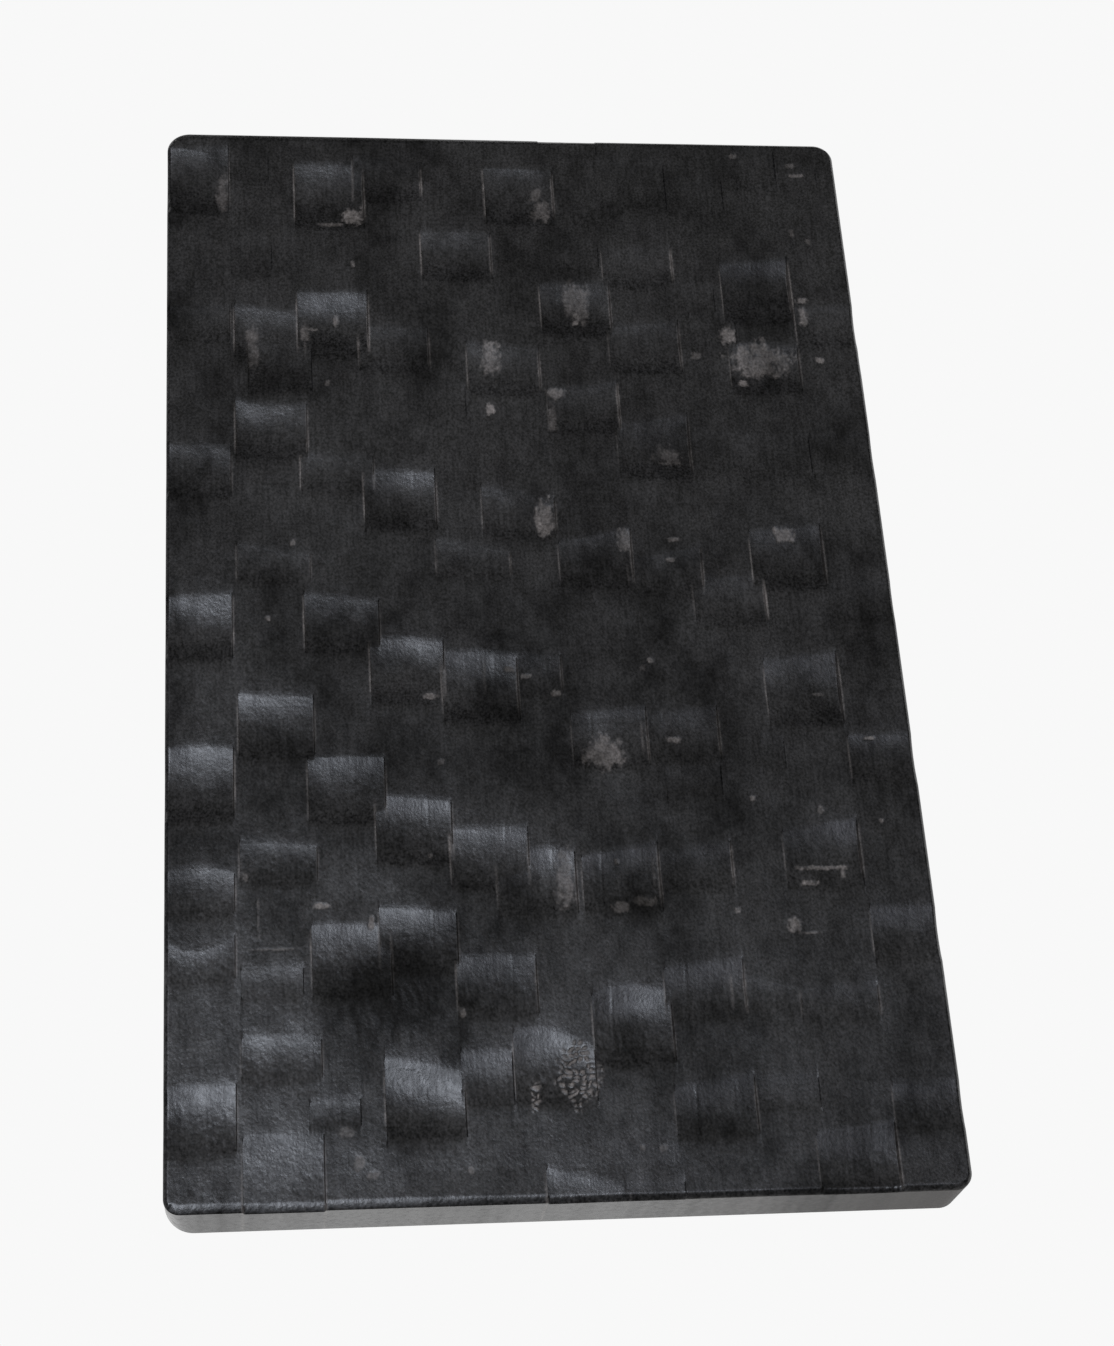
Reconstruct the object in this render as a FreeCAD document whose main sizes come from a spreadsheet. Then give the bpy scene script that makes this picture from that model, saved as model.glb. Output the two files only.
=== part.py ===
import FreeCAD, Part
import os
import Sketcher

# A chunky scooped board: eleven full-length wooden staves, glued edge to edge into one
# panel, rounded all round, then carved on top with one wide round-nosed cutter.
# The cutter is plunged again and again in lengthwise lanes, so each scoop is a short
# piece of a cylinder that lies across the board. Millimetres, +Z up, the board's length
# along Y, and the origin under the middle of the board on the surface it lies on.

doc = FreeCAD.newDocument("scooped_board")

# ---- driving sizes ----------------------------------------------------------------------

SIZES = (
    ("board_width", 300, "across the staves"),
    ("board_length", 488, "along the staves"),
    ("board_thickness", 27, "planed thickness of every stave"),
    ("stave_count", 11, "staves side by side in the panel"),
    ("corner_radius", 10, "the panel's four corners, seen from above"),
    ("arris_radius", 2.5, "top and bottom edges of the outside faces"),
    ("tool_width", 30, "width of the cutter, and so of every scoop"),
    ("tool_radius", 50, "radius of the cutter's round nose"),
    ("saw_overrun", 5, "how far a stave's strip reaches past the panel's faces"),
)

sheet = doc.addObject("Spreadsheet::Sheet", "sizes")
for row, (alias, value, note) in enumerate(SIZES, start=1):
    sheet.set(f"A{row}", alias)
    sheet.set(f"B{row}", str(value))
    sheet.set(f"C{row}", note)
    sheet.setAlias(f"B{row}", alias)
doc.recompute()

# ---- carving layout ---------------------------------------------------------------------

# One entry per lengthwise lane: where the lane's middle lies, in percent of the board's
# width from the left, and its scoops. Each scoop has its middle in percent of the board's
# length from the front, and its own length in millimetres: a longer scoop is a deeper one.
LANES = (
    (3.8, ((6.9, 27), (19.9, 20), (25.0, 28), (34.8, 33), (49.2, 30), (64.4, 23),
           (78.9, 20), (95.0, 33))),
    (14.6, ((3.1, 30), (11.8, 20), (17.9, 14), (28.0, 21), (39.9, 31), (54.9, 20),
            (68.6, 27), (77.9, 31), (86.4, 18))),
    (23.5, ((7.4, 10), (19.7, 31), (34.1, 31), (49.3, 29), (64.1, 20), (80.0, 27),
            (93.3, 34))),
    (32.0, ((8.2, 31), (21.3, 28), (30.5, 30), (44.9, 31), (61.3, 30), (76.9, 23),
            (95.5, 21))),
    (41.8, ((9.9, 24), (17.2, 26), (28.1, 28), (43.2, 32), (55.4, 20), (71.2, 20),
            (86.8, 27))),
    (47.7, ((10.4, 31), (26.4, 27), (44.5, 20), (60.2, 26), (75.0, 25))),
    (51.5, ((0.8, 22), (93.6, 31))),
    (58.4, ((13.7, 33), (26.4, 32), (38.6, 28), (55.7, 30), (71.1, 26), (81.4, 29))),
    (68.3, ((7.1, 27), (16.7, 26), (27.1, 23), (38.9, 26), (54.4, 26), (67.0, 32),
            (77.2, 29), (85.9, 24), (94.5, 20))),
    (77.1, ((16.5, 16), (36.9, 17), (51.2, 25), (66.8, 19), (77.0, 24))),
    (85.7, ((2.9, 28), (15.4, 15), (28.1, 28), (43.4, 31), (55.7, 30), (66.0, 22),
            (75.3, 26), (84.2, 26), (97.1, 20))),
    (96.2, ((6.8, 19), (21.1, 21), (36.9, 22), (51.4, 19), (65.9, 21), (79.5, 26))),
)

# ---- the glued panel before carving -----------------------------------------------------


def add_panel_form():
    """The panel's outside: a rounded rectangle as thick as a stave, with rounded arrises."""
    body = doc.addObject("PartDesign::Body", "panel_form")
    flat = [f for f in body.Origin.OriginFeatures if f.Role == "XY_Plane"][0]
    outline = body.newObject("Sketcher::SketchObject", "panel_outline")
    outline.AttachmentSupport = [(flat, "")]
    outline.MapMode = "FlatFace"

    half_width = sheet.board_width / 2
    half_length = sheet.board_length / 2
    corners = [FreeCAD.Vector(x, y, 0) for x, y in (
        (-half_width, -half_length), (half_width, -half_length),
        (half_width, half_length), (-half_width, half_length))]
    for side in range(4):
        outline.addGeometry(Part.LineSegment(corners[side], corners[(side + 1) % 4]))
    for side in range(4):
        direction = "Horizontal" if side % 2 == 0 else "Vertical"
        outline.addConstraint(Sketcher.Constraint(direction, side))
        outline.addConstraint(Sketcher.Constraint("Coincident", side, 2, (side + 1) % 4, 1))
    outline.addConstraint(Sketcher.Constraint("Symmetric", 0, 1, 2, 1, -1, 1))
    width = outline.addConstraint(Sketcher.Constraint("DistanceX", 0, 1, 0, 2, 2 * half_width))
    length = outline.addConstraint(Sketcher.Constraint("DistanceY", 1, 1, 1, 2, 2 * half_length))
    outline.setExpression(f"Constraints[{width}]", "sizes.board_width")
    outline.setExpression(f"Constraints[{length}]", "sizes.board_length")

    slab = body.newObject("PartDesign::Pad", "panel_slab")
    slab.Profile = outline
    slab.setExpression("Length", "sizes.board_thickness")
    doc.recompute()

    corner_rounds = add_fillet(body, slab, "panel_corners", "sizes.corner_radius", is_upright)
    add_fillet(body, corner_rounds, "panel_arrises", "sizes.arris_radius", is_level)
    return body


def is_upright(edge):
    """An edge that runs straight up the panel's side."""
    return edge.BoundBox.ZLength > 0.9 * sheet.board_thickness


def is_level(edge):
    """An edge that lies flat in the panel's top or bottom face."""
    return edge.BoundBox.ZLength < 0.01 * sheet.board_thickness


def add_fillet(body, base, name, radius, wanted):
    """Round the wanted edges of a body's feature, at a radius taken from the sheet."""
    rounding = body.newObject("PartDesign::Fillet", name)
    rounding.Base = (base, [f"Edge{number}" for number, edge in
                            enumerate(base.Shape.Edges, start=1) if wanted(edge)])
    rounding.setExpression("Radius", radius)
    doc.recompute()
    return rounding


# ---- the carving ------------------------------------------------------------------------


def add_scoop(name, across, along, length):
    """One plunge of the cutter: a cylinder lying across the board, in line with its lane.

    The cutter's axis is as high above the top face as leaves a scoop of the given length:
    the height, half the length and the cutter's radius make a right-angled triangle.
    """
    scoop = doc.addObject("Part::Cylinder", name)
    scoop.setExpression("Radius", "sizes.tool_radius")
    scoop.setExpression("Height", "sizes.tool_width")
    scoop.Placement.Rotation = FreeCAD.Rotation(FreeCAD.Vector(0, 1, 0), 90)
    scoop.setExpression(
        "Placement.Base.x",
        f"sizes.board_width * ({across / 100} - 0.5) - sizes.tool_width / 2")
    scoop.setExpression("Placement.Base.y", f"sizes.board_length * ({along / 100} - 0.5)")
    scoop.setExpression(
        "Placement.Base.z",
        f"sizes.board_thickness + sqrt(sizes.tool_radius ^ 2 - {(length / 2) ** 2})")
    return scoop


def add_carving():
    """Every scoop, with the left and right limits of its lane."""
    carving = []
    for lane, (across, cuts) in enumerate(LANES, start=1):
        middle = sheet.board_width * (across / 100 - 0.5)
        for place, (along, length) in enumerate(cuts, start=1):
            scoop = add_scoop(f"scoop_{lane:02d}_{place:02d}", across, along, length)
            carving.append((scoop, middle - sheet.tool_width / 2, middle + sheet.tool_width / 2))
    return carving


# ---- the staves -------------------------------------------------------------------------


def add_stave(number, panel, carving):
    """One stave: the panel between two glue lines, less the scoops that reach it."""
    left = f"(sizes.board_width * ({number - 1} / sizes.stave_count - 0.5))"
    strip = doc.addObject("Part::Box", f"strip_{number:02d}")
    strip.setExpression("Length", "sizes.board_width / sizes.stave_count")
    strip.setExpression("Width", "sizes.board_length + 2 * sizes.saw_overrun")
    strip.setExpression("Height", "sizes.board_thickness + 2 * sizes.saw_overrun")
    strip.setExpression("Placement.Base.x", left)
    strip.setExpression("Placement.Base.y", "-sizes.board_length / 2 - sizes.saw_overrun")
    strip.setExpression("Placement.Base.z", "-sizes.saw_overrun")

    blank = doc.addObject("Part::Common", f"blank_{number:02d}")
    blank.Base = panel
    blank.Tool = strip

    stave_width = sheet.board_width / sheet.stave_count
    from_x = -sheet.board_width / 2 + (number - 1) * stave_width
    reaching = [scoop for scoop, lane_left, lane_right in carving
                if lane_left < from_x + stave_width and lane_right > from_x]
    cutter = doc.addObject("Part::MultiFuse", f"cutter_{number:02d}")
    cutter.Shapes = reaching

    stave = doc.addObject("Part::Cut", f"stave_{number:02d}")
    stave.Base = blank
    stave.Tool = cutter
    stave.Label = f"stave_{number:02d}"
    return stave


# ---- checks and files -------------------------------------------------------------------


def check_built(staves):
    """Stop before anything is written if an object failed or a stave isn't one sound solid."""
    for item in doc.Objects:
        if "Invalid" in item.State or "Error" in item.State:
            raise RuntimeError(f"{item.Label} failed to build: {item.State}")
    for stave in staves:
        shape = stave.Shape
        if shape.isNull() or not shape.isValid() or len(shape.Solids) != 1:
            raise RuntimeError(f"{stave.Label} is not one sound solid")


panel_form = add_panel_form()
all_scoops = add_carving()
all_staves = [add_stave(number, panel_form, all_scoops)
              for number in range(1, int(sheet.stave_count) + 1)]
doc.recompute()
check_built(all_staves)

os.makedirs("parts", exist_ok=True)
for one_stave in all_staves:
    one_stave.Shape.exportStep(f"parts/{one_stave.Label}.step")
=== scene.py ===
import math

import bpy
import numpy as np
from mathutils import Matrix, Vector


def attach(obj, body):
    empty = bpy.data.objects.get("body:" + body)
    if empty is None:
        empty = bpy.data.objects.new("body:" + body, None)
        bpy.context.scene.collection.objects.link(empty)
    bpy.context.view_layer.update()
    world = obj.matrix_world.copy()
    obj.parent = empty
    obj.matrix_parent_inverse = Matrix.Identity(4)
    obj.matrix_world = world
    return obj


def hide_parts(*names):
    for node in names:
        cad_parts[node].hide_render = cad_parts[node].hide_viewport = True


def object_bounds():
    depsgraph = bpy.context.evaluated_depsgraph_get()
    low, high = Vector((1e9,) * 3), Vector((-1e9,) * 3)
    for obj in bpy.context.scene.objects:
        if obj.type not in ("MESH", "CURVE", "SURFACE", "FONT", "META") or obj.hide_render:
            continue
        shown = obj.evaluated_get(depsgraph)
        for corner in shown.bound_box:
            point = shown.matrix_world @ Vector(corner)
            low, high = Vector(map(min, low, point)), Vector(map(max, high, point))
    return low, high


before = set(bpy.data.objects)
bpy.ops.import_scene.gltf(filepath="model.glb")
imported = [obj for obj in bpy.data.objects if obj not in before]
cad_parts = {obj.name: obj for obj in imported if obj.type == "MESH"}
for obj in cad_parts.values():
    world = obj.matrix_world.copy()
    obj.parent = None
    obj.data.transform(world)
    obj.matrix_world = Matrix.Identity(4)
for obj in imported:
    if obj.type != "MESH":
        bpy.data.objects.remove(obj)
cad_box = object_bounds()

# ---- The panel ---------------------------------------------------------------------------
# Eleven full-length wooden staves glued edge to edge, planed to one thickness and rounded
# at the four corners and along every outside edge. Lengths here, in the carving and in the
# staves are millimetres from the panel's front left corner, until a mesh is made in metres.

MM = 0.001
stave_nodes = sorted(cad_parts)
panel_low, panel_high = (np.array(corner) / MM for corner in cad_box)
panel_width, panel_length, panel_thickness = panel_high - panel_low
stave_width = panel_width / len(stave_nodes)

# Corner radii at the front left, front right, back left and back right.
top_corners = (6.0, 7.0, 10.0, 8.5)
low_corners = (11.0, 8.0, 10.0, 8.5)

# The top arris is low at the left and deeper at the right, and along the ends it narrows too.
side_arris = 1.6
left_end_arris = 3.6
right_end_arris = 2.1
left_arris_height = 1.3
right_arris_height = 1.9
arris_change_from = 88.0
arris_change_over = 110.0
under_arris = 1.2
arris_steps = 10
cell = 0.45


def insets(arris, last):
    """Distances in from an outside edge: round the arris in equal angles, then even cells."""
    angle = np.linspace(0, math.pi / 2, arris_steps + 1)
    round_part = arris * (1 - np.cos(angle))
    cells = round((last - arris) / cell)
    return np.concatenate([round_part, np.linspace(arris, last, cells + 1)[1:]])


def panel_lines():
    """Grid lines across and along the panel, and the grid line that each glue joint is on."""
    side = insets(side_arris, stave_width)
    inner = stave_width * np.linspace(1, len(stave_nodes) - 1,
                                      round(stave_width / cell) * (len(stave_nodes) - 2) + 1)
    across = np.concatenate([side, inner[1:], panel_width - side[::-1][1:]])
    half = insets(left_end_arris, panel_length / 2)
    along = np.concatenate([half, panel_length - half[::-1][1:]])
    joints = [0] + list(range(len(side) - 1, len(side) + len(inner) - 1,
                              round(stave_width / cell))) + [len(across) - 1]
    return across, along, joints


def changing(across, left_value, right_value):
    """An arris size at each line across: an even change from the left value to the right."""
    share = np.clip((across - arris_change_from) / arris_change_over, 0, 1)[None, :]
    return left_value + (right_value - left_value) * share


def bend_round_corners(across, along, corner_radii):
    """Plan places of all grid points, their distance in, and their share of the arris.

    Inside each corner square, squares about the corner's centre become circles: a point
    keeps its ring, and its share of the way to the diagonal becomes a share of 45 degrees.
    """
    on_right = (across > panel_width / 2).astype(int)[None, :]
    at_back = (along > panel_length / 2).astype(int)[:, None]
    corner_radius = np.array(corner_radii)[on_right + 2 * at_back]
    from_side = np.minimum(across, panel_width - across)[None, :]
    from_end = np.minimum(along, panel_length - along)[:, None]
    sideways = np.clip(1 - from_side / corner_radius, 0, None) + 0 * from_end
    endways = np.clip(1 - from_end / corner_radius, 0, None) + 0 * from_side
    ring = np.maximum(sideways, endways)
    turn = math.pi / 4 * np.minimum(sideways, endways) / np.maximum(ring, 1e-9)
    cornered = (sideways > 0) & (endways > 0)
    flip = endways > sideways
    new_side = np.where(flip, ring * np.sin(turn), ring * np.cos(turn))
    new_end = np.where(flip, ring * np.cos(turn), ring * np.sin(turn))
    shift_x = np.where(cornered, corner_radius * (sideways - new_side), 0)
    shift_y = np.where(cornered, corner_radius * (endways - new_end), 0)
    x = across[None, :] + np.where(across < panel_width / 2, 1, -1)[None, :] * shift_x
    y = along[:, None] + np.where(along < panel_length / 2, 1, -1)[:, None] * shift_y
    end_width = changing(across, left_end_arris, right_end_arris)
    arris_share = 1 - np.minimum(from_side / side_arris, from_end / end_width)
    return x, y, np.minimum(from_side, from_end) + 0 * x, np.clip(arris_share, 0, 1)


def arris_drop(share, height):
    """How far a sanded arris has fallen, as a superellipse of power 1.25.

    A share of 0 is its inner line, with no fall, and 1 is its outer line, a full height down.
    """
    power = 1.25
    return height * (1 - (1 - share ** power) ** (1 / power))


across_lines, along_lines, joint_lines = panel_lines()
x, y, inset, arris_share = bend_round_corners(across_lines, along_lines, top_corners)
low_x, low_y = bend_round_corners(across_lines, along_lines, low_corners)[:2]

# ---- The carving -------------------------------------------------------------------------
# One wide, round-nosed cutter was plunged again and again along lengthwise lanes. Each
# plunge leaves a scoop: a short piece of a cylinder lying across the board, with a crisp
# far edge, upright side walls and a fine ridge where the cutter's edge has a nick.

cutter_radius = 50.0

# One scoop, begun well before the front edge, was drawn out flat over it.
drawn_off_radius = 260.0
drawn_off_before = -10

# Each lane has its left and right limits and how far its nick is from its left limit. Each
# scoop has its near end, the far end at its left, how much further its right end reaches,
# how much its middle bulges, and how far its left and right rims are rubbed to bare wood.
LANES = (
    (-3.0, 26.8, 0.0, (
        (20.4, 46.5, 2.0, 0.5, 0.1, 0.1), (86.8, 108.0, 0.5, -7.0, 0.1, 0.1),
        (113.0, 131.5, 1.5, 3.6, 0.2, 0.2), (153.2, 185.0, 0.5, 1.5, 0.4, 0.7),
        (224.0, 252.9, 2.6, 0.0, 0.2, 0.5), (298.9, 325.3, -1.0, 1.5, 0.1, 0.6),
        (376.0, 395.5, 0.0, 0.0, 0.0, 0.0), (444.0, 479.5, 1.8, 0.0, 0.0, 0.0))),
    (28.9, 58.4, 0.0, (
        (-30.0, 29.5, 0.0, 0.5, 0.3, 0.2), (47.7, 67.0, -1.5, 0.5, 0.1, 0.1),
        (126.0, 147.3, -3.0, 0.0, 0.2, 0.3), (179.5, 210.5, -2.6, 0.0, 0.3, 0.3),
        (258.0, 278.6, -4.8, 0.0, 0.3, 0.2), (318.0, 348.6, -2.1, -2.0, 0.6, 0.4),
        (368.0, 396.4, -4.3, 0.0, 0.6, 0.1))),
    (55.7, 85.7, 0.0, (
        (80.4, 111.0, -1.0, 1.0, 0.5, 0.2), (151.0, 181.6, 0.0, 0.0, 0.6, 0.2),
        (226.0, 255.3, -3.6, 0.0, 0.8, 0.3), (301.0, 322.3, -1.0, 0.0, 0.6, 0.1),
        (369.0, 404.0, 0.0, 0.0, 0.5, 0.7), (437.0, 473.0, 0.0, 0.0, 1.4, 0.5))),
    (81.6, 111.2, 20.2, (
        (24.6, 56.0, -5.5, 0.5, 0.3, 0.1), (89.5, 118.3, -2.4, 0.0, 0.2, 0.1),
        (134.0, 165.0, -2.0, 0.0, 0.4, 0.1), (203.6, 235.0, -1.5, 0.0, 0.5, 0.1),
        (284.0, 314.2, -0.6, 0.0, 0.8, 0.3), (362.0, 386.5, -0.6, 0.0, 0.3, 0.3),
        (451.5, 476.8, -3.5, 0.0, 0.2, 1.0))),
    (110.3, 140.4, 20.9, (
        (70.7, 97.0, 0.0, 0.0, 0.9, 0.3), (122.5, 150.7, 0.0, 0.0, 0.7, 0.2),
        (195.0, 228.0, -1.0, 1.0, 0.4, 0.4), (259.5, 280.9, -4.8, 0.0, 0.5, 0.7),
        (410.0, 437.0, 0.0, 0.0, 1.2, 0.6))),
    (127.8, 158.4, 21.3, (
        (112.0, 136.5, 4.0, 2.5, 0.3, 0.2), (207.0, 227.0, 0.0, 0.0, 0.1, 0.2),
        (350.0, 378.2, -2.0, 0.0, 0.5, 0.6))),
    (130.4, 160.8, 21.3, (
        (36.0, 66.0, -7.0, 4.0, 0.3, 0.2), (280.0, 306.0, -4.8, 0.0, 0.2, 0.4))),
    (139.5, 170.0, 0.0, (
        (-9.0, 14.0, -8.0, 0.0, 0.2, 0.2), (440.5, 472.5, -1.0, 0.0, 1.0, 0.6))),
    (161.2, 191.4, 7.5, (
        (50.4, 79.5, 1.0, 3.5, 0.6, 0.2), (112.5, 138.0, 6.0, 0.0, 0.4, 0.5),
        (173.5, 199.5, 3.5, 0.0, 0.2, 0.3), (256.0, 279.6, 7.0, 0.0, 0.7, 0.4),
        (331.5, 355.0, 5.0, 0.0, 0.2, 0.7), (382.0, 409.5, 1.5, 0.0, 0.6, 0.4))),
    (189.8, 220.6, 8.1, (
        (21.4, 43.0, 4.7, 0.0, 0.2, 0.3), (68.6, 90.5, 3.5, 0.0, 0.2, 0.4),
        (121.0, 138.5, 5.5, 0.0, 0.1, 0.5), (177.0, 198.5, 5.0, 0.0, 0.2, 0.4),
        (252.5, 271.0, 7.0, 0.0, 0.1, 0.5), (310.0, 336.5, 6.5, 0.0, 0.1, 0.4),
        (362.0, 387.0, 4.0, 0.0, 0.1, 0.4), (407.0, 428.5, 2.2, 0.0, 0.2, 0.8))),
    (216.0, 245.9, 0.0, (
        (238.0, 261.5, 1.5, 0.0, 0.0, 0.9), (70.5, 88.0, -7.0, 0.0, 0.1, 0.1))),
    (242.2, 272.7, 0.0, (
        (-2.0, 23.6, 3.7, 0.0, 0.2, 0.5), (66.0, 81.5, 1.0, 0.0, 0.1, 0.2),
        (121.5, 147.0, 4.4, 0.0, 0.2, 0.3), (192.0, 222.9, 4.4, 0.0, 0.4, 0.4),
        (255.0, 284.4, 2.7, 0.0, 0.6, 0.5), (352.0, 379.0, -1.0, 1.0, 0.1, 0.1),
        (388.0, 421.5, 2.5, 0.0, 0.3, 0.8))),
    (273.4, 303.0, 0.0, (
        (22.0, 42.5, 0.0, 0.0, 0.5, 0.1), (90.0, 113.8, 0.0, 0.0, 0.3, 0.1),
        (166.0, 189.5, 0.0, 0.0, 0.3, 0.1), (374.5, 399.0, 1.0, 0.0, 0.4, 0.1))),
)

# Light passes that barely broke the surface: left, right, near and far ends, and depth.
SKIMS = (
    (28.9, 52.0, 80.0, 95.0, 0.55), (27.6, 45.0, 411.0, 430.5, 0.45),
    (27.3, 44.0, 461.0, 477.0, 0.5), (53.6, 72.0, 30.0, 41.5, 0.5),
    (34.3, 61.0, 351.0, 386.8, 2.2), (110.0, 129.6, 36.4, 58.5, 1.4),
    (110.3, 126.0, 337.0, 358.0, 0.5), (168.2, 190.6, -10.0, 8.0, 0.6),
    (167.0, 188.0, 414.0, 433.0, 0.5), (170.0, 191.3, 443.0, 469.0, 0.5),
    (165.0, 191.3, 476.0, 496.0, 0.5), (197.5, 219.8, 161.0, 177.0, 0.6),
    (189.8, 221.3, 447.0, 477.0, 0.7), (219.6, 245.2, 31.0, 46.5, 0.5),
    (237.0, 246.4, 171.0, 189.0, 0.5), (216.0, 246.0, 313.0, 334.5, 0.7),
    (226.0, 246.2, 372.0, 397.0, 0.6), (217.0, 238.0, 391.0, 410.0, 0.5),
    (222.0, 247.0, 446.0, 468.0, 0.5), (242.5, 272.5, 309.0, 333.0, 0.8),
    (254.0, 272.5, 461.0, 485.0, 0.7), (273.4, 303.0, 240.5, 260.5, 0.6),
    (273.4, 303.0, 310.0, 333.0, 0.8), (284.0, 303.0, 363.0, 382.5, 0.5),
    (274.0, 291.0, 461.0, 477.0, 0.4),
)

# Spots where the cutter tore the grain out: middle across and along, width, length, and
# how much bare wood shows.
TEARS = (
    (80.9, 445.4, 9.5, 11.5, 1.0), (70.7, 439.6, 12.0, 2.6, 0.55),
    (242.2, 382.6, 6.6, 8.4, 1.0), (255.5, 370.0, 25.0, 16.5, 0.72),
    (247.0, 359.0, 4.8, 3.6, 0.9), (277.0, 393.0, 4.6, 9.4, 1.0),
    (277.4, 400.8, 5.2, 3.0, 1.0), (281.8, 370.0, 4.2, 3.6, 1.0),
    (156.4, 290.0, 7.6, 18.0, 0.85), (173.0, 182.5, 14.5, 16.5, 0.62),
    (176.6, 400.0, 12.0, 20.0, 0.5), (176.4, 394.0, 3.4, 3.4, 1.0),
    (175.8, 390.0, 3.2, 3.0, 1.0), (164.0, 448.6, 8.4, 11.0, 0.55),
    (162.0, 458.5, 5.4, 6.0, 0.35), (138.0, 370.0, 8.6, 15.0, 0.6),
    (136.2, 343.0, 3.2, 5.8, 1.0), (209.8, 279.6, 6.6, 2.6, 1.0),
    (207.6, 270.4, 4.4, 2.0, 0.7), (211.0, 322.0, 11.5, 9.5, 0.45),
    (256.6, 282.4, 8.6, 5.6, 0.75), (188.8, 281.0, 5.6, 8.6, 0.6),
    (165.0, 352.2, 8.6, 5.2, 0.75), (162.6, 340.4, 4.2, 14.5, 0.4),
    (78.3, 111.4, 2.6, 6.8, 1.0), (59.6, 118.0, 6.2, 2.2, 0.85),
    (257.0, 131.4, 19.0, 1.8, 0.8), (251.0, 124.4, 5.6, 2.6, 0.8),
    (264.6, 129.0, 2.0, 5.0, 0.7), (153.8, 129.0, 7.4, 23.0, 0.45),
    (242.8, 106.6, 5.4, 5.6, 0.9), (248.6, 103.4, 6.4, 1.0, 0.6),
    (281.8, 187.2, 6.8, 1.4, 1.0), (40.7, 243.2, 2.2, 2.2, 1.0),
    (195.2, 223.0, 2.4, 2.4, 1.0), (220.6, 113.6, 3.4, 3.0, 0.9),
    (231.5, 160.8, 2.0, 2.0, 0.9), (282.8, 150.2, 1.9, 1.9, 0.9),
    (71.9, 391.0, 2.4, 5.2, 1.0), (79.8, 417.8, 1.8, 3.2, 0.7),
    (67.4, 357.0, 2.2, 3.0, 0.5), (227.2, 371.6, 4.4, 4.4, 0.5),
    (254.0, 480.2, 3.2, 2.6, 0.7), (281.2, 470.0, 7.0, 1.8, 0.6),
    (279.6, 475.4, 4.4, 2.4, 0.45), (276.4, 438.0, 2.4, 4.4, 0.45),
    (283.2, 433.0, 2.8, 3.2, 0.35), (51.6, 278.4, 2.4, 3.2, 0.6),
    (36.2, 375.0, 5.2, 21.0, 0.45), (58.4, 383.0, 3.8, 7.6, 0.5),
    (61.6, 386.4, 4.4, 1.6, 0.7), (35.4, 115.0, 1.0, 16.5, 0.5),
    (38.8, 100.8, 19.0, 1.0, 0.4), (24.4, 456.6, 5.6, 19.0, 0.35),
    (111.6, 73.6, 2.4, 4.0, 0.9), (155.8, 208.8, 4.0, 3.4, 0.95),
    (144.4, 216.6, 4.6, 2.4, 0.8), (137.6, 220.4, 4.0, 2.4, 0.75),
    (201.6, 187.8, 6.4, 2.6, 0.9), (185.0, 118.2, 10.0, 4.4, 0.6),
    (175.2, 116.0, 6.4, 4.4, 0.55), (105.0, 208.0, 6.0, 2.2, 0.6),
    (107.8, 178.4, 2.8, 2.8, 0.5), (102.0, 139.0, 2.0, 3.0, 0.6),
    (175.0, 135.0, 2.0, 2.2, 0.8), (30.4, 131.0, 2.4, 4.4, 0.5),
    (71.0, 17.5, 4.2, 5.6, 0.42), (75.6, 12.4, 5.0, 3.4, 0.42), (67.0, 28.4, 5.0, 4.0, 0.38),
    (192.0, 220.0, 3.0, 3.0, 0.35), (175.8, 19.6, 2.4, 2.4, 0.45),
    (183.8, 18.8, 2.4, 2.4, 0.35), (264.0, 208.4, 4.6, 1.4, 0.5),
    (258.6, 155.8, 2.4, 3.8, 0.5), (112.0, 13.0, 2.4, 2.4, 0.35),
)

# Spots where the finish came off in rows of pebbles: middle across and along, and size.
PEBBLED = ((153.6, 48.0, 17.0, 25.0), (138.0, 42.0, 5.0, 14.0))


def ragged(across_cell, along_cell, seed, sway=0):
    """Random heights from -1 to 1 on a lattice of cells, swayed across, smoothly joined."""
    columns = int(panel_width / across_cell) + 3
    rows = int(panel_length / along_cell) + 3
    lattice = np.random.default_rng(seed).uniform(-1, 1, (rows, columns))
    u, v = np.clip(x + sway, 0, panel_width) / across_cell, y / along_cell
    column, row = u.astype(int), v.astype(int)
    u, v = u - column, v - row
    u, v = u * u * (3 - 2 * u), v * v * (3 - 2 * v)
    near = lattice[row, column] * (1 - u) + lattice[row, column + 1] * u
    far = lattice[row + 1, column] * (1 - u) + lattice[row + 1, column + 1] * u
    return near * (1 - v) + far * v


fibres = 0.6 * ragged(0.9, 14, 1) + 0.4 * ragged(0.5, 6, 2)
fuzz = 0.6 * ragged(1.1, 1.6, 3) + 0.4 * ragged(0.6, 0.8, 4)
blotches = 0.6 * ragged(3.4, 4.6, 6) + 0.4 * ragged(1.6, 2.2, 7)
waver = ragged(9, 60, 5)
wear = ragged(34, 26, 17)
curl = 5 * ragged(15, 13, 18)
curly = 0.6 * ragged(1.9, 9, 19, curl) + 0.4 * ragged(1.1, 5, 20, curl)
pebbles = np.abs(np.sin(math.pi * (x / 3.2 + 0.9 * ragged(4, 2.5, 8)))
                 * np.sin(math.pi * (y / 2.4 + 0.8 * ragged(3, 5, 9))))


def scoop_depth(near, far, radius):
    """Depth under the face of a cylinder that meets the face at the near and far lines."""
    half = np.maximum(far - near, 0.1) / 2
    off_middle = y - (near + far) / 2
    height = np.sqrt(np.clip(radius ** 2 - off_middle ** 2, 0, None))
    return np.clip(height - np.sqrt(radius ** 2 - half ** 2), 0, None)


def rubbed_rim(edge, depth, amount):
    """Worn finish along a side rim: a thin line, strongest at mid-scoop, broken by fuzz."""
    nearness = np.clip(1.5 - np.abs(x - edge - 0.15 * fuzz) / 0.50, 0, 1)
    along_rim = np.clip(depth / max(depth.max(), 0.1) * 1.8 - 0.25, 0, 1)
    broken = np.clip(0.7 + 0.6 * waver * fibres + 0.5 * blotches, 0, 1)
    return nearness * along_rim * broken * min(1.0, 0.28 + 0.85 * amount)


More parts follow.
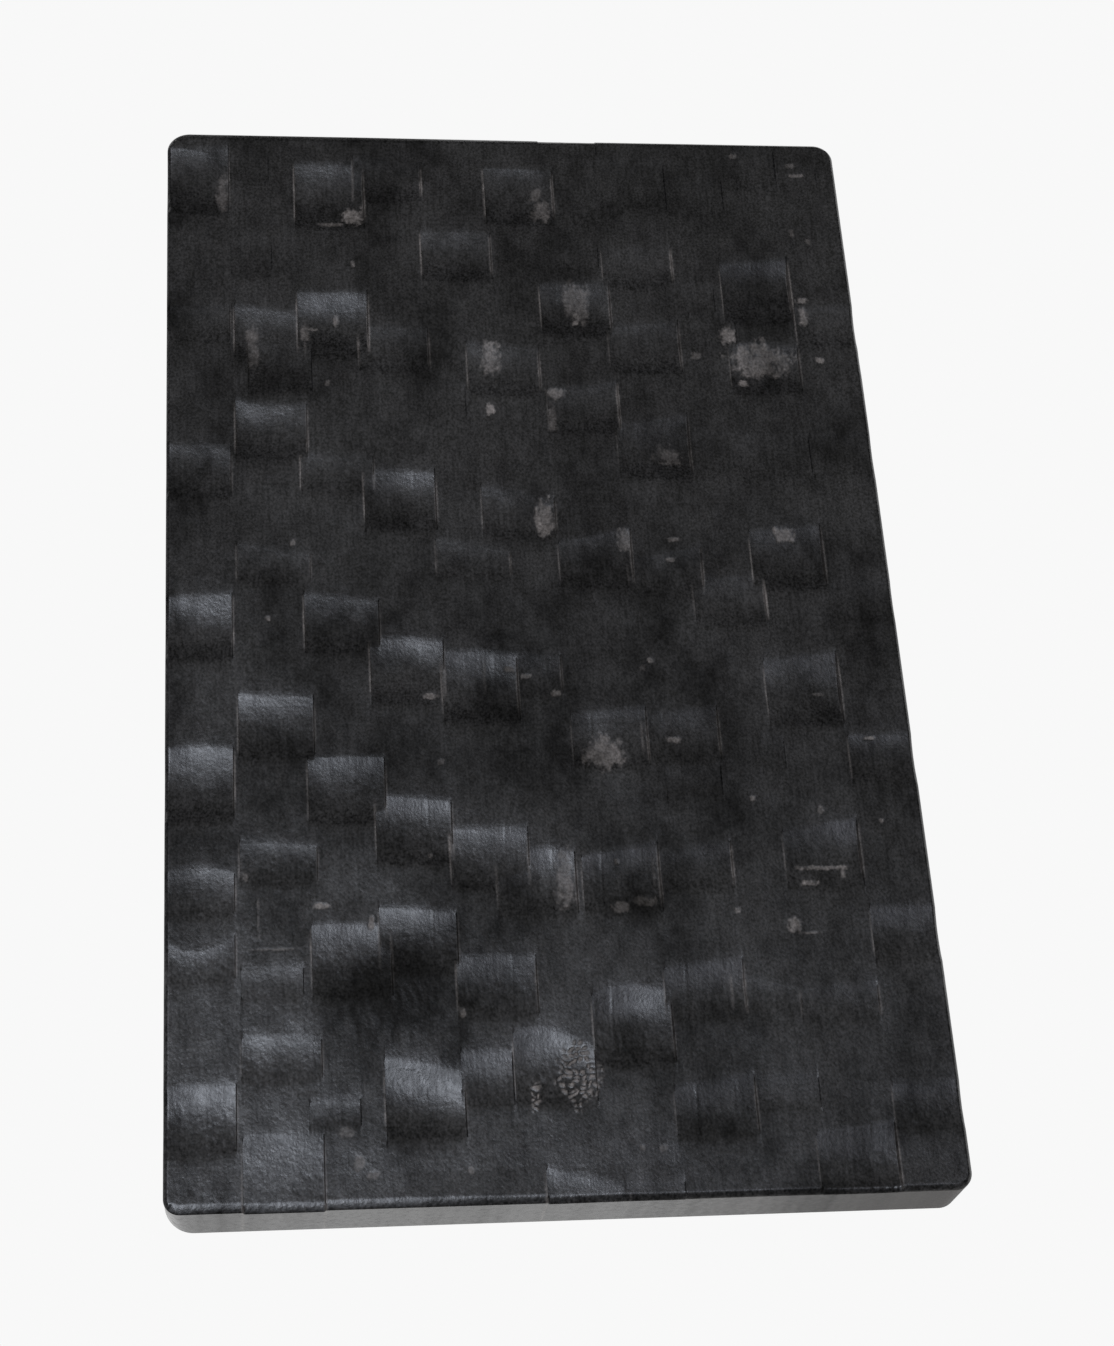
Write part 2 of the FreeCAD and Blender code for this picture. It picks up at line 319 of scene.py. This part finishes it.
cut = np.zeros_like(x)
bare = np.zeros_like(x)
torn = np.zeros_like(x)
near_end = np.zeros_like(x)

for left, right, nick, scoops in LANES:
    share = np.clip((x - left) / (right - left), 0, 1)
    inside = (x > left) & (x < right)
    past_nick = (x > left + nick) & (nick > 0)
    ridge = np.exp(-((x - left - nick) / 0.5) ** 2) * (nick > 0) * np.clip(0.5 + waver, 0, 1)
    for near, far, skew, bulge, rub_left, rub_right in scoops:
        far_line = far + skew * share + 4 * bulge * share * (1 - share)
        far_line = far_line + 0.4 * fuzz + 0.12 * blotches
        near_line = near + 1.6 * (2 * share - 1) ** 4 + 0.9 * fuzz - 0.5 * past_nick
        radius = drawn_off_radius if near < drawn_off_before else cutter_radius
        depth = scoop_depth(near_line, far_line - 0.45 * past_nick, radius)
        bare = np.maximum(bare, rubbed_rim(left - 0.35, depth, rub_left))
        bare = np.maximum(bare, rubbed_rim(right + 0.1, depth, rub_right))
        deeper = inside & (depth > cut)
        near_share = np.clip(1.15 - 1.7 * (y - near) / (far - near), 0, 1)
        near_end = np.where(deeper, near_share, near_end)
        cut = np.where(deeper, depth - 0.08 * ridge * (depth > 0.2), cut)

for left, right, near, far, deepest in SKIMS:
    half = (far - near) / 2
    skim_radius = (half ** 2 + deepest ** 2) / (2 * deepest)
    inside = (x > left) & (x < right)
    cut = np.maximum(cut, np.where(inside, scoop_depth(near + 0.8 * fuzz, far + 0.5 * fuzz,
                                                       skim_radius), 0))

# A small tear breaks off nearly square, and one this wide or more is rounder.
small_tear = 9
for middle_x, middle_y, width, length, amount in TEARS:
    squareness = 3.2 if min(width, length) < small_tear else 2.0
    spread = (np.abs((x - middle_x) / (0.55 * width)) ** squareness
              + np.abs((y - middle_y) / (0.55 * length)) ** squareness) ** (1 / squareness)
    spot = np.clip(2.4 * (1.0 - spread + 0.42 * blotches + 0.34 * fuzz), 0, 1)
    shown = np.clip(amount * (0.72 + 0.3 * blotches + 0.35 * fuzz), 0, 1)
    torn = np.maximum(torn, spot * amount)
    bare = np.maximum(bare, spot * shown)

raised = np.zeros_like(x)
for middle_x, middle_y, width, length in PEBBLED:
    spread = np.hypot((x - middle_x) / (0.55 * width), (y - middle_y) / (0.55 * length))
    spot = np.clip(2.4 * (1.0 - spread + 0.42 * blotches), 0, 1)
    raised = np.maximum(raised, spot * 0.8 * (pebbles - 0.3))
    bare = np.maximum(bare, spot * np.clip(2.0 * pebbles - 0.5 + 0.6 * fuzz, 0, 0.95))


def eased(field, passes):
    """The field with its steps along the board rounded over.

    Each pass is half of each row plus a quarter of the row on either side of it.
    """
    for _ in range(passes):
        field = np.pad(field, ((1, 1), (0, 0)), mode="edge")
        field = (field[:-2] + 2 * field[1:-1] + field[2:]) / 4
    return field


def spread_out(field, reach):
    """The field blurred along the board, three running averages wide, as wear blurs a crest."""
    steps = int(reach / cell)
    for _ in range(3):
        total = np.cumsum(np.pad(field, ((steps + 1, steps), (0, 0)), mode="edge"), axis=0)
        field = (total[2 * steps + 1:] - total[:-2 * steps - 1]) / (2 * steps + 1)
    return field


# Wear has rounded the land beside each scoop, and the flat parts were never quite level.
crest_wear = np.clip(spread_out(cut, 4.0) * (0.60 + 0.5 * wear) - 0.5 * cut, 0, None)
unevenness = 0.42 * ragged(26, 30, 12) + 0.14 * ragged(8, 11, 13) - 0.35

# A knot near the front left, where the grain curls and the finish took less shine.
knot_x, knot_y = 84, 78
knot_reach = np.hypot(x - knot_x, y - knot_y)
knotty = np.clip(2.2 - 2.2 * knot_reach / 22 + 0.5 * blotches, 0, 1)

# How well the finish shines: clouded at random, darker and less glossy in the middle of the
# board, and dull at the knot.
patina = 0.52 + 0.32 * ragged(22, 30, 14) + 0.2 * ragged(7, 9, 15)
patina = patina + 0.14 * ragged(2.6, 3.4, 16)
patina = patina - 0.32 * np.exp(-((x - 165) / 42) ** 2 - ((y - 220) / 65) ** 2)
patina = patina - 0.8 * np.exp(-(knot_reach / 20) ** 2) * (0.8 + 0.5 * curly)

# The surface's fine relief: fibres, the fuzz the cutter left, and a leathery left side.
leathery = np.clip(1.5 - x / 110, 0, 1)
fuzz_height = 0.030 + 0.018 * leathery + 0.03 * near_end * (cut > 0.05)
blotch_height = 0.018 + 0.026 * leathery
relief = 0.014 * fibres + 0.15 * knotty * curly + fuzz_height * fuzz + blotch_height * blotches

top = (panel_thickness - crest_wear * np.clip(inset / 6, 0, 1)
       - arris_drop(arris_share, changing(across_lines, left_arris_height, right_arris_height))
       - eased(cut, 3)
       + np.minimum(unevenness, 0) * np.clip((inset - 1) / 12, 0.1, 1)
       + relief * (inset > 1)
       + raised - torn * (0.10 + 0.25 * np.abs(fuzz)))
bottom = arris_drop(arris_share, under_arris)

# A scoop's left wall stands upright: its foot is drawn back almost one cell, to its rim.
fall = top[:, :-1] - top[:, 1:]
upright = np.clip((fall - 0.15) / 0.3, 0, 1) * (inset[:, 1:] > 2)
x[:, 1:] -= 0.93 * cell * upright

# ---- The staves --------------------------------------------------------------------------
# Each stave is one closed piece: its share of the carved top, its planed underside, its
# two ends, and the flat faces where it is glued to its neighbours.


def kept_rows():
    """Rows of the underside: every row where a corner turns, and every twelfth between."""
    turning = np.minimum(along_lines, panel_length - along_lines) < max(low_corners) + 1
    return np.flatnonzero(turning | (np.arange(len(along_lines)) % 12 == 0))


def side_wall(top_row, low_row, rows):
    """Triangles between a fine top edge and a coarse lower one, outward to the left.

    Each fine step is joined to the nearer of the two coarse points it lies between, and
    each coarse step to the fine point at its middle.
    """
    step = np.arange(len(top_row) - 1)
    span = np.searchsorted(rows, step, side="right") - 1
    middle = (rows[:-1] + rows[1:]) // 2
    target = np.where(step < middle[span], span, span + 1)
    fine = np.stack([top_row[step], top_row[step + 1], low_row[target]], 1)
    coarse = np.stack([low_row[1:], low_row[:-1], top_row[middle]], 1)
    return np.concatenate([fine, coarse])


def crease_top_edge(mesh, up):
    """Mark the carved face's own edge sharp, so its shading never bends into the side walls."""
    on_edge = np.zeros(len(mesh.vertices), bool)
    on_edge[np.concatenate([up[:, 0], up[:, -1], up[0], up[-1]])] = True
    ends = np.empty(2 * len(mesh.edges), int)
    mesh.edges.foreach_get("vertices", ends)
    ends = ends.reshape(-1, 2)
    row_or_column = np.abs(ends[:, 0] - ends[:, 1])
    sharp = on_edge[ends[:, 0]] & on_edge[ends[:, 1]]
    sharp &= (row_or_column == 1) | (row_or_column == up.shape[1])
    mesh.attributes.new("sharp_edge", "BOOLEAN", "EDGE").data.foreach_set("value", sharp)


# A cell that rises or falls by more than this is a scoop's side wall, and is shaded flat.
steep_step = 0.25


def stave_mesh(name, first, last):
    """A closed mesh between two grid lines of the panel, joined from six faces."""
    rows = kept_rows()
    columns = slice(first, last + 1)
    count_x = last + 1 - first
    upper = np.stack([x[:, columns], y[:, columns], top[:, columns]], -1).reshape(-1, 3)
    lower = np.stack([low_x[rows][:, columns], low_y[rows][:, columns],
                      bottom[rows][:, columns]], -1).reshape(-1, 3)
    points = np.concatenate([upper, lower])
    points = (points + panel_low) * MM

    up = np.arange(len(upper)).reshape(-1, count_x)
    low = len(upper) + np.arange(len(lower)).reshape(-1, count_x)

    def quads_of(*four_corners):
        return np.stack(four_corners, -1).reshape(-1, 4)

    top_face = quads_of(up[:-1, :-1], up[:-1, 1:], up[1:, 1:], up[1:, :-1])
    under_face = quads_of(low[:-1, 1:], low[:-1, :-1], low[1:, :-1], low[1:, 1:])
    front_face = quads_of(low[0, :-1], low[0, 1:], up[0, 1:], up[0, :-1])
    back_face = quads_of(low[-1, 1:], low[-1, :-1], up[-1, :-1], up[-1, 1:])
    left_wall = side_wall(up[:, 0], low[:, 0], rows)
    right_wall = side_wall(up[:, -1], low[:, -1], rows)[:, ::-1]

    quads = np.concatenate([top_face, under_face, front_face, back_face])
    triangles = np.concatenate([left_wall, right_wall])
    corners = np.concatenate([quads.ravel(), triangles.ravel()])
    starts = np.concatenate([4 * np.arange(len(quads)),
                             4 * len(quads) + 3 * np.arange(len(triangles))])
    smooth = np.zeros(len(starts), bool)
    smooth[:len(top_face) + len(under_face)] = True
    step_height = np.abs(np.diff(top[:, columns], axis=1))[:-1]
    on_arris = inset[:-1, columns][:, 1:] < 2
    smooth[:len(top_face)] = ((step_height < steep_step) | on_arris).ravel()

    mesh = bpy.data.meshes.new(name)
    mesh.vertices.add(len(points))
    mesh.vertices.foreach_set("co", points.ravel())
    mesh.loops.add(len(corners))
    mesh.loops.foreach_set("vertex_index", corners)
    mesh.polygons.add(len(starts))
    mesh.polygons.foreach_set("loop_start", starts)
    mesh.update(calc_edges=True)
    mesh.polygons.foreach_set("use_smooth", smooth)
    crease_top_edge(mesh, up)
    side = np.clip(1 - inset / 0.25, 0, 1)
    # Painted reflection: the right end of the front face gets a warm specular tint and a
    # rougher, dimmer sheen, standing in for a darker, warmer stretch of floor mirrored there.
    painted_warm_dim_reflection = side * np.clip((x - 0.55 * panel_width) / (0.45 * panel_width), 0, 1) * (y < 20)
    for label, field in (("bare", bare), ("side", side), ("painted_warm_dim_reflection", painted_warm_dim_reflection),
                         ("patina", patina)):
        values = np.concatenate([field[:, columns].ravel(), field[rows][:, columns].ravel()])
        mesh.attributes.new(label, "FLOAT", "POINT").data.foreach_set("value", values)
    return mesh


def charcoal_wood():
    """Open-pored wood under a thin satin charcoal-black finish, bare where it is rubbed."""
    material = bpy.data.materials.new("charcoal_wood")
    material.use_nodes = True
    nodes, links = material.node_tree.nodes, material.node_tree.links
    shader = nodes["Principled BSDF"]
    place = nodes.new("ShaderNodeTexCoord").outputs["Object"]

    def stretched_noise(per_metre, stretch, detail):
        mapping = nodes.new("ShaderNodeMapping")
        mapping.inputs["Scale"].default_value = (1, 1 / stretch, 1)
        links.new(place, mapping.inputs["Vector"])
        noise = nodes.new("ShaderNodeTexNoise")
        noise.inputs["Scale"].default_value = per_metre
        noise.inputs["Detail"].default_value = detail
        links.new(mapping.outputs["Vector"], noise.inputs["Vector"])
        return noise.outputs["Fac"]

    def ramp(source, *stops):
        node = nodes.new("ShaderNodeValToRGB")
        while len(node.color_ramp.elements) < len(stops):
            node.color_ramp.elements.new(0.5)
        for element, (position, colour) in zip(node.color_ramp.elements, stops):
            element.position = position
            element.color = (*colour, 1)
        links.new(source, node.inputs["Fac"])
        return node.outputs["Color"]

    def blend(amount, first, second):
        node = nodes.new("ShaderNodeMix")
        node.data_type = "RGBA"
        links.new(amount, node.inputs["Factor"])
        links.new(first, node.inputs[6])
        if isinstance(second, tuple):
            node.inputs[7].default_value = (*second, 1)
        else:
            links.new(second, node.inputs[7])
        return node.outputs[2]

    def field(label):
        node = nodes.new("ShaderNodeAttribute")
        node.attribute_name = label
        return node.outputs["Fac"]

    def arithmetic(operation, *terms):
        node = nodes.new("ShaderNodeMath")
        node.operation = operation
        for socket, value in zip(node.inputs, terms):
            if isinstance(value, float):
                socket.default_value = value
            else:
                links.new(value, socket)
        return node.outputs["Value"]

    grain = stretched_noise(800, 14, 4)
    speckle = stretched_noise(1050, 1.25, 2)
    mottle = stretched_noise(420, 1.3, 5)
    depths = arithmetic("ADD", arithmetic("MULTIPLY", grain, 0.3),
                        arithmetic("MULTIPLY", speckle, 0.7))
    finish = ramp(depths, (0.38, (0.0020, 0.0020, 0.0020)), (0.64, (0.0270, 0.0256, 0.0246)))
    wood = ramp(speckle, (0.3, (0.100, 0.086, 0.074)), (0.7, (0.215, 0.190, 0.170)))
    worn = blend(field("bare"), finish, wood)
    tarnish = ramp(field("patina"), (0.0, (0.45, 0.45, 0.44)), (0.85, (1.5, 1.5, 1.54)))
    tinted = nodes.new("ShaderNodeMix")
    tinted.data_type = "RGBA"
    tinted.blend_type = "MULTIPLY"
    tinted.inputs["Factor"].default_value = 1.0
    links.new(worn, tinted.inputs[6])
    links.new(tarnish, tinted.inputs[7])
    links.new(tinted.outputs[2], shader.inputs["Base Color"])
    links.new(ramp(field("patina"), (0.0, (0.19, 0.19, 0.19)), (0.9, (0.66, 0.66, 0.66))),
              shader.inputs["Specular IOR Level"])
    # Painted reflection: a warm specular tint on the right end of the front face.
    links.new(ramp(field("painted_warm_dim_reflection"), (0.0, (1.0, 1.0, 1.0)), (1.0, (1.0, 0.90, 0.84))),
              shader.inputs["Specular Tint"])

    sheen = ramp(mottle, (0.3, (0.29, 0.29, 0.29)), (0.7, (0.40, 0.40, 0.40)))
    dulled = blend(field("bare"), sheen, (0.72, 0.72, 0.72))
    planed = ramp(mottle, (0.3, (0.15, 0.15, 0.15)), (0.7, (0.32, 0.32, 0.32)))
    smooth_end = blend(field("side"), dulled, planed)
    # The same painted reflection is dimmed there with a higher roughness.
    links.new(blend(field("painted_warm_dim_reflection"), smooth_end, (0.55, 0.55, 0.55)),
              shader.inputs["Roughness"])

    bump = nodes.new("ShaderNodeBump")
    bump.inputs["Distance"].default_value = 0.15 * MM
    links.new(arithmetic("MULTIPLY_ADD", field("side"), -0.62, 0.85), bump.inputs["Strength"])
    links.new(depths, bump.inputs["Height"])
    links.new(bump.outputs["Normal"], shader.inputs["Normal"])
    return material


finish_material = charcoal_wood()
for node_name, first_line, last_line in zip(stave_nodes, joint_lines, joint_lines[1:]):
    stave = bpy.data.objects.new(f"carved_{node_name}",
                                 stave_mesh(f"carved_{node_name}", first_line, last_line))
    bpy.context.scene.collection.objects.link(stave)
    stave.data.materials.append(finish_material)
    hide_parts(node_name)
    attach(stave, "root")

# ---- The surface it lies on --------------------------------------------------------------
# A plain white sheet, evenly lit from within so that it stays pale to its edges.

floor_half = 4.0
floor_level = -0.0004
floor_mesh = bpy.data.meshes.new("floor")
floor_mesh.from_pydata([(-floor_half, -floor_half, floor_level),
                        (floor_half, -floor_half, floor_level),
                        (floor_half, floor_half, floor_level),
                        (-floor_half, floor_half, floor_level)],
                       [], [(0, 1, 2, 3)])
floor = bpy.data.objects.new("floor", floor_mesh)
bpy.context.scene.collection.objects.link(floor)
paper = bpy.data.materials.new("white_sheet")
paper.use_nodes = True
paper_shader = paper.node_tree.nodes["Principled BSDF"]
paper_shader.inputs["Base Color"].default_value = (0, 0, 0, 1)
paper_shader.inputs["Roughness"].default_value = 1.0
paper_shader.inputs["Specular IOR Level"].default_value = 0.0
paper_shader.inputs["Emission Color"].default_value = (1, 1, 1, 1)
paper_shader.inputs["Emission Strength"].default_value = 0.939
floor_mesh.materials.append(paper)

# ---- Light and camera --------------------------------------------------------------------
# A soft window overhead at the front left, with weaker light off two walls and the ceiling,
# in a dim, warm room. All of it shines straight down. The camera is held about a metre up,
# in front of the board and a little to the left of its middle. Lengths here are metres.


def soft_light(name, position, size, power, colour):
    """A square area light at a place, facing straight down as it does when unturned."""
    light = bpy.data.lights.new(name, "AREA")
    light.shape = "SQUARE"
    light.size = size
    light.energy = power
    light.color = colour
    lamp = bpy.data.objects.new(name, light)
    bpy.context.scene.collection.objects.link(lamp)
    lamp.location = position


soft_light("window", (-0.48, -0.44, 2.2), 0.85, 27, (0.83, 0.89, 1.0))
soft_light("left_wall", (-1.2, 0.2, 2.2), 1.0, 8, (0.86, 0.88, 1.0))
soft_light("right_wall", (0.42, -0.38, 2.2), 0.85, 3, (0.78, 0.81, 1.0))
soft_light("ceiling", (-0.35, 0.75, 2.4), 4.1, 13, (1.0, 0.98, 0.95))

world = bpy.data.worlds.new("room")
world.use_nodes = True
world.node_tree.nodes["Background"].inputs["Color"].default_value = (1.0, 0.975, 0.86, 1)
world.node_tree.nodes["Background"].inputs["Strength"].default_value = 0.04
bpy.context.scene.world = world

board_width = panel_width * MM
camera_place = np.array([-0.4188, -1.6865, 3.2068]) * board_width
camera_turn, camera_pitch, camera_roll = (math.radians(a) for a in (15.42, 62.00, 13.26))
forward = np.array([math.sin(camera_turn) * math.cos(camera_pitch),
                    math.cos(camera_turn) * math.cos(camera_pitch), -math.sin(camera_pitch)])
level_right = np.array([math.cos(camera_turn), -math.sin(camera_turn), 0])
level_up = np.cross(level_right, forward)
rightward = math.cos(camera_roll) * level_right + math.sin(camera_roll) * level_up
upward = -math.sin(camera_roll) * level_right + math.cos(camera_roll) * level_up

lens = bpy.data.cameras.new("camera")
lens.lens = 70.15
lens.sensor_width = 36
camera = bpy.data.objects.new("camera", lens)
bpy.context.scene.collection.objects.link(camera)
facing = np.eye(4)
facing[:3] = np.column_stack([rightward, upward, -forward, camera_place])
camera.matrix_world = Matrix(facing.tolist())
bpy.context.scene.camera = camera
bpy.context.scene.view_settings.view_transform = "Standard"
